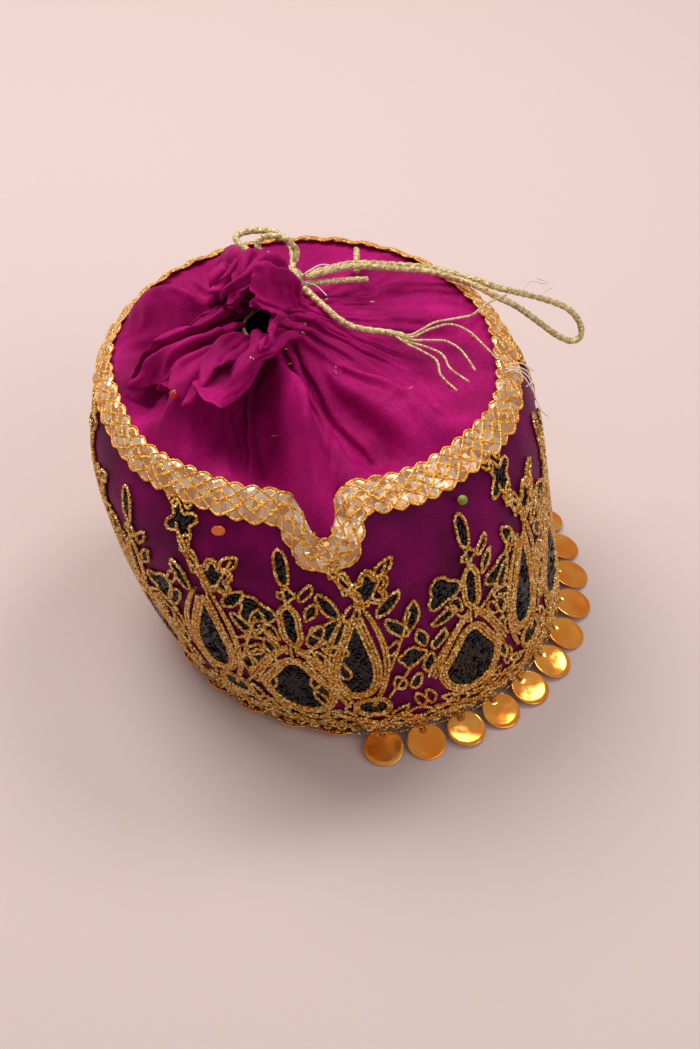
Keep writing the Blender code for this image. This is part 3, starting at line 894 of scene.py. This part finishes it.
def twistedCord(name, path, diameter, material, plies=2, closed=False):
    # a tube whose section is that many plies side by side, turning once in each lay of the rope
    sides = 14
    bm = bmesh.new()
    bmesh.ops.create_grid(bm, x_segments=len(path) - 1, y_segments=sides, size=0.5)
    mesh = meshOf(bm, name)
    flat = meshPoints(mesh)
    along = np.rint((flat[:, 0] + 0.5) * (len(path) - 1)).astype(int)
    angle = (flat[:, 1] + 0.5) * math.tau
    if closed:
        tangent = np.roll(path, -1, 0) - np.roll(path, 1, 0)
    else:
        tangent = np.gradient(path, axis=0)
    tangent /= np.linalg.norm(tangent, axis=1, keepdims=True)
    side = np.cross(tangent, (0.0, 0.05, 1.0))
    side /= np.linalg.norm(side, axis=1, keepdims=True)
    top = np.cross(side, tangent)
    run = np.concatenate([[0], np.cumsum(np.linalg.norm(np.diff(path, axis=0), axis=1))])
    lay = math.tau * run[along] / (cordFacts["twist"] * diameter / cordFacts["diameter"])
    radius = diameter / 2 * (0.70 + 0.30 * np.abs(np.cos((angle - lay) * plies / 2)) ** 0.6)
    taper = np.ones(len(path))
    if not closed:
        taper[0] = taper[-1] = 0.5
    radius *= taper[along]
    points = (path[along] + side[along] * (radius * np.cos(angle))[:, None]
              + top[along] * (radius * np.sin(angle))[:, None])
    setPoints(mesh, points * mm)
    bm = bmesh.new()
    bm.from_mesh(mesh)
    bpy.data.meshes.remove(mesh)
    bmesh.ops.remove_doubles(bm, verts=bm.verts, dist=0.001 * mm)
    bmesh.ops.holes_fill(bm, edges=bm.edges, sides=0)
    bmesh.ops.recalc_face_normals(bm, faces=bm.faces)
    return addObject(name, meshOf(bm, name), material)


def freeCord(name, route, diameter, node, plies=2):
    path, length = smoothRoute(route, cordFacts["step"])
    cord = twistedCord(name, path, diameter, strawCord, plies)
    placeOn(cord, "root", "straw_cord", node)
    return path


def buildCords():
    thick, thin = cordFacts["diameter"], cordFacts["strand"]
    for name, node in (("longLoop", "long_loop"), ("shortLoop", "short_loop"), ("backLoop", "back_loop")):
        freeCord(name, routes[name], thick, node)
    freeCord("cordTail", routes["tail"], thick, "cord_tail")
    for k, route in enumerate(routes["strands"], start=1):
        # each strand starts inside the tail that it frays from
        route = ((9.6, 8.2, 119.0), *route)
        freeCord(f"frayedStrand{k}", route, thin, f"frayed_strand_{k}")
    path, _ = smoothRoute(routes["casingTie"], cordFacts["step"])
    placeOn(twistedCord("casingTie", path, thick, strawCord), "root", "straw_cord", "casing_tie")
    turns = np.linspace(0, math.tau, 161)
    ring = clothPoints(turns, neckReach, -0.9 * thick) / mm
    placeOn(twistedCord("drawstring", ring, 0.65 * thick, strawCord), "root", "straw_cord", "drawstring")


def buildKnot():
    low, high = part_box("bow_knot")
    centre = np.array((low + high) / 2) / mm
    laps = np.linspace(0, math.tau, 60)
    paths = []
    for tilt, lean, wide in ((10, 15, 4.0), (75, -25, 3.8), (40, 70, 3.4), (110, 30, 3.0)):
        ring = np.stack([np.cos(laps), np.sin(laps), 0.25 * np.sin(2 * laps)], 1) * wide
        matrix = np.array(Matrix.Rotation(math.radians(tilt), 3, "X") @ Matrix.Rotation(math.radians(lean), 3, "Y"))
        paths.append(ring @ matrix.T + centre)
    for route in routes["knotEnds"]:
        paths.append(smoothRoute(route, cordFacts["step"])[0])
    meshes = []
    for path in paths:
        wrap = twistedCord("wrap", path, 0.92 * cordFacts["diameter"], strawCord)
        meshes.append(wrap.data)
        bpy.data.objects.remove(wrap)
    placeOn(addObject("bowKnot", joinedMesh("bowKnot", meshes), strawCord), "root", "straw_cord", "bow_knot")


buildCords()
buildKnot()
print("cords made")

# ---- beads and stray bits
beadHole = 0.28    # how far a bead's ends are pressed in


def beadObject(name, node, material):
    low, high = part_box(node)
    size = (high - low) / 2
    bm = bmesh.new()
    bmesh.ops.create_uvsphere(bm, u_segments=24, v_segments=16, radius=1.0)
    for vertex in bm.verts:
        if abs(vertex.co.z) > 0.9:
            vertex.co.z *= 1 - beadHole * (abs(vertex.co.z) - 0.9) * 10
    mesh = meshOf(bm, name)
    mesh.transform(Matrix.Translation((low + high) / 2) @ Matrix.Diagonal((*size, 1)))
    return placeOn(addObject(name, mesh, material), "root", node, node)


beadObject("orangeSequin", "orange_sequin", orangeGlass)
beadObject("greenBead", "green_bead", greenGlass)

# ---- loose threads and metal dust caught on the cloth
looseBits = {
    "thread": 0.22,  # mm thick
    "threads": (
        ((48.5, 0.0, 108.5), (53.0, 1.0, 109.0), (57.0, -1.0, 107.0), (59.0, -5.0, 103.0)),
        ((49.0, 2.0, 108.5), (53.5, 0.0, 108.5), (57.5, -3.0, 105.0), (61.0, -8.0, 99.0), (64.0, -9.0, 96.0)),
        ((49.0, 4.0, 108.5), (54.5, 5.0, 108.5), (59.5, 4.0, 105.5)),
        ((50.0, 3.0, 108.5), (55.5, 3.0, 107.5), (58.5, 0.0, 105.0), (56.0, -3.0, 104.5)),
        ((58.0, 49.0, 106.0), (61.5, 52.0, 108.5), (66.0, 51.0, 108.0), (68.0, 54.0, 106.5), (64.0, 57.0, 106.0)),
        ((60.0, 50.0, 105.0), (64.0, 47.0, 106.0), (67.0, 50.0, 105.5), (71.0, 55.0, 104.0)),
        ((-22.0, 28.0, 129.0), (-15.0, 33.0, 130.0), (-8.0, 33.0, 128.5), (-5.0, 38.0, 126.0)),
        ((-22.0, 26.0, 128.0), (-17.0, 25.0, 127.0), (-13.0, 21.0, 125.5)),
    ),
    "dust": ((-10, -12), (-36, -32), (16, -15), (-20, -4), (-24, -20), (30, -8), (-12, 24), (-16, 20), (-30, -44),
             (4, 30), (40, 20)),
}


def buildLooseBits():
    meshes = []
    for route in looseBits["threads"]:
        path, _ = smoothRoute(route, 0.6)
        thread = twistedCord("thread", path, looseBits["thread"] * 2, whiteThread)
        meshes.append(thread.data)
        bpy.data.objects.remove(thread)
    placeOn(addObject("looseThreads", joinedMesh("looseThreads", meshes), whiteThread), "root", "straw_cord")


buildLooseBits()

# ---- neck cloth: gathered on the drawstring, with the ruffle fallen to the left
neck = {
    "columns": 220,
    "rows": 50,
    "neckRow": 28,
    "folds": 7,      # broad folds that run up from the seam
    "pleats": 17,    # fine gathers at the drawstring
    "rolls": 9,      # soft rolls of the ruffle
    "frames": 7,
    "cut": (0.443, 0.100),  # metres of cloth round the seam, and from the seam to the ruffle's ragged edge
    "ruffle": ((125.5, 13.0, -31.0, 7.0, 10), (132.0, 16.0, -36.0, 4.0, 24), (136.5, 20.5, -43.0, 0.0, 36),
               (137.0, 25.0, -51.5, -5.5, 42), (133.0, 27.5, -60.0, -10.0, 44)),
    "gravity": (-1.8, -1.3, -6.0),
    "foldLift": 15.0,
    "gatherLift": 9,
    "gatherSpread": 2.7,
    "rollSpread": 10.0,
    "crumpleDroop": 4.2,
    "rollDroop": 3.5,
}


def neckStart(turn, share):
    # broad folds over the shoulder that break into fine gathers, then a crumpled ruffle
    rows, neckRow = neck["rows"], neck["neckRow"]
    row = share * rows
    rise = np.clip(row / neckRow, 0, 1)
    beyond = np.clip((row - neckRow) / (rows - neckRow), 0, 1)
    bottom = seamReach(turn) - seam["neckGap"]
    reach = bottom + (neckReach - bottom) * rise
    columns = [np.interp(reach, ringReach, ringRows[:, k]) for k in range(5)]
    _, ruffle = smoothTable(neck["ruffle"], 0.02)
    ragged = 0.86 + 0.14 * np.sin(3 * turn + 0.8) + 0.05 * np.sin(13 * turn)
    where = beyond * (len(ruffle) - 1) * np.clip(ragged, 0, 1)
    for k, column in enumerate(columns):
        column[beyond > 0] = np.interp(where, np.arange(len(ruffle)), ruffle[:, k])[beyond > 0]
    height, radius, right, back, lean = columns
    away = turn - math.radians(seam["vTurn"])
    drift = 0.55 * np.sin(2 * away + 0.3) + 0.4 * np.sin(3 * away) + 0.25 * np.sin(5 * away)
    strength = np.interp(np.degrees(turn), (0, 25, 55, 85, 185, 215, 250, 330, 360),
                         (1.25, 1.1, 0.65, 0.3, 0.25, 0.8, 1.1, 1.15, 1.25))
    broad = np.cos(neck["folds"] * away + 0.9 * drift) + 0.3 * np.cos(2 * neck["folds"] * away + 2.5 * drift + 1)
    rolls = np.cos(neck["rolls"] * away + 1.6 * np.sin(2 * away + 1) + 0.9 * np.sin(3 * away)
                   + 2.6 * beyond * np.sin(2 * away + 2))
    fine = np.cos(neck["pleats"] * away + 2.2 * np.sin(2 * away) + 1.1 * np.sin(5 * away + 1) + 1.5 * beyond)
    # no fold lifts the cloth next to the seam
    opened = np.clip((rise - 0.08) / 0.92, 0, 1)
    hump = np.sin(np.pi * opened**0.8) ** 1.1
    lift = strength * (neck["foldLift"] * (broad + 0.25 * broad**2 - 0.15) * hump * (1 - 0.4 * rise)
                       + neck["gatherLift"] * fine * rise**2 * (1 - rise))
    swell = np.clip(2.2 * beyond, 0, 1) * (1 - 0.25 * beyond)
    gather = neck["gatherSpread"] * fine
    spread = np.where(beyond > 0, gather * (1 - beyond) + neck["rollSpread"] * rolls * swell, gather * rise**3)
    crumple = np.sin(5 * away + 6 * beyond) + 0.6 * np.sin(9 * away - 7 * beyond + 2)
    rollDroop = neck["rollDroop"] * np.cos(neck["rolls"] * away + 2.6) * swell * beyond
    droop = np.where(beyond > 0, neck["crumpleDroop"] * crumple * beyond + rollDroop, 0)
    radius = radius + spread
    lean = np.radians(lean)
    across = radius * np.sin(turn)
    points = np.stack([right + across * np.cos(lean) - droop * np.sin(lean), back - radius * np.cos(turn),
                       height + across * np.sin(lean) + lift + droop * np.cos(lean)], -1)
    return points * mm


def relaxCloth(cloth, rows):
    # pinned at the seam and on the drawstring, the rest falls into its own folds
    group = cloth.vertex_groups.new(name="held")
    for index, row in enumerate(rows):
        if row <= 1 or row == neck["neckRow"]:
            group.add([index], 1.0, "REPLACE")
        elif row in (2, neck["neckRow"] - 1, neck["neckRow"] + 1):
            group.add([index], 0.5, "REPLACE")
    modifier = cloth.modifiers.new("Cloth", "CLOTH")
    settings = modifier.settings
    settings.quality = 5
    settings.mass = 0.15
    settings.tension_stiffness, settings.compression_stiffness = 12, 8
    settings.shear_stiffness, settings.bending_stiffness = 3, 3.0
    settings.air_damping = 2
    settings.vertex_group_mass = "held"
    settings.pin_stiffness = 5
    collision = modifier.collision_settings
    collision.use_self_collision = True
    collision.self_distance_min = 1.2 * mm
    collision.self_friction = 5
    modifier.point_cache.frame_start = 1
    modifier.point_cache.frame_end = neck["frames"]
    scene.gravity = neck["gravity"]
    for step in range(1, neck["frames"] + 1):
        scene.frame_set(step)
    mesh = bpy.data.meshes.new_from_object(cloth.evaluated_get(bpy.context.evaluated_depsgraph_get()))
    points = meshPoints(mesh)
    cloth.modifiers.remove(modifier)
    scene.frame_set(1)
    setPoints(cloth.data, points)
    bpy.data.meshes.remove(mesh)


def clearCords(points):
    # the cloth lies just under each cord that rests on it
    lines = [routes["longLoop"], routes["tail"], routes["casingTie"], *routes["strands"]]
    for line in lines:
        path, _ = smoothRoute(line, 1.5)
        gap = cordFacts["diameter"] / 2 + 0.4 if line not in routes["strands"] else 0.9
        for spot in path:
            away = np.hypot(points[:, 0] - spot[0], points[:, 1] - spot[1])
            limit = spot[2] - gap + np.clip(away - 1.2, 0, None) ** 1.5 * 0.35
            near = (away < 7) & (points[:, 2] > limit) & (points[:, 2] < spot[2] + 14)
            points[near, 2] = limit[near]
    return points


def buildNeck():
    mesh = wrappedGrid("neckCloth", neck["columns"], neck["rows"], neckStart)
    cloth = addObject("neckCloth", mesh, silk)
    relaxCloth(cloth, neckRows(mesh))
    points = clearCords(meshPoints(cloth.data) / mm)
    setPoints(cloth.data, points * mm)
    addThickness(cloth, 0.45, 0.0)
    addSubdivision(cloth)
    placeOn(cloth, "root", "magenta_silk", "neck_cloth")


def neckRows(mesh):
    # how many rows each vertex is above the seam, walked up ring by ring
    bm = bmesh.new()
    bm.from_mesh(mesh)
    bm.verts.ensure_lookup_table()
    row = {}
    edgeVerts = [v for v in bm.verts if v.is_boundary]
    lowest = min(edgeVerts, key=lambda v: v.co.z)
    ring, frontier = {lowest}, [lowest]
    while frontier:
        vertex = frontier.pop()
        for edge in vertex.link_edges:
            other = edge.other_vert(vertex)
            if edge.is_boundary and other not in ring:
                ring.add(other)
                frontier.append(other)
    level = 0
    while ring:
        for vertex in ring:
            row[vertex.index] = level
        ring = {e.other_vert(v) for v in ring for e in v.link_edges if e.other_vert(v).index not in row}
        level += 1
    bm.free()
    return [row[k] for k in range(len(mesh.vertices))]


buildNeck()
print("neck cloth made")


def clothTop(x, y):
    # the highest place of the neck cloth over a spot, in mm
    points = meshPoints(bpy.data.objects["neckCloth"].data) / mm
    away = np.hypot(points[:, 0] - x, points[:, 1] - y)
    near = np.argsort(away)[:6]
    return float(points[near, 2].max())


def buildDust():
    low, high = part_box("red_bead")
    spot = (low + high) / 2 / mm
    bead = beadObject("redBead", "red_bead", redGlass)
    bead.data.transform(Matrix.Translation((0, 0, (clothTop(spot.x, spot.y) + 1.3 - spot.z) * mm)))
    bm = bmesh.new()
    for x, y in looseBits["dust"]:
        for _ in range(2):
            # the second bit lies a little way from the first
            x, y = x + random.uniform(-1.5, 1.5), y + random.uniform(-1.5, 1.5)
            place = Matrix.Translation((x * mm, y * mm, (clothTop(x, y) + 0.5) * mm))
            turn = Matrix.Rotation(random.uniform(0, 3), 4, "Z") @ Matrix.Rotation(random.uniform(-0.4, 0.4), 4, "X")
            size = Matrix.Diagonal((random.uniform(0.5, 1.3) * mm, 0.3 * mm, 0.14 * mm, 1))
            bmesh.ops.create_icosphere(bm, subdivisions=1, radius=1.0, matrix=place @ turn @ size)
    placeOn(addObject("metalDust", meshOf(bm, "metalDust"), zari), "root", "zari_lace")


buildDust()
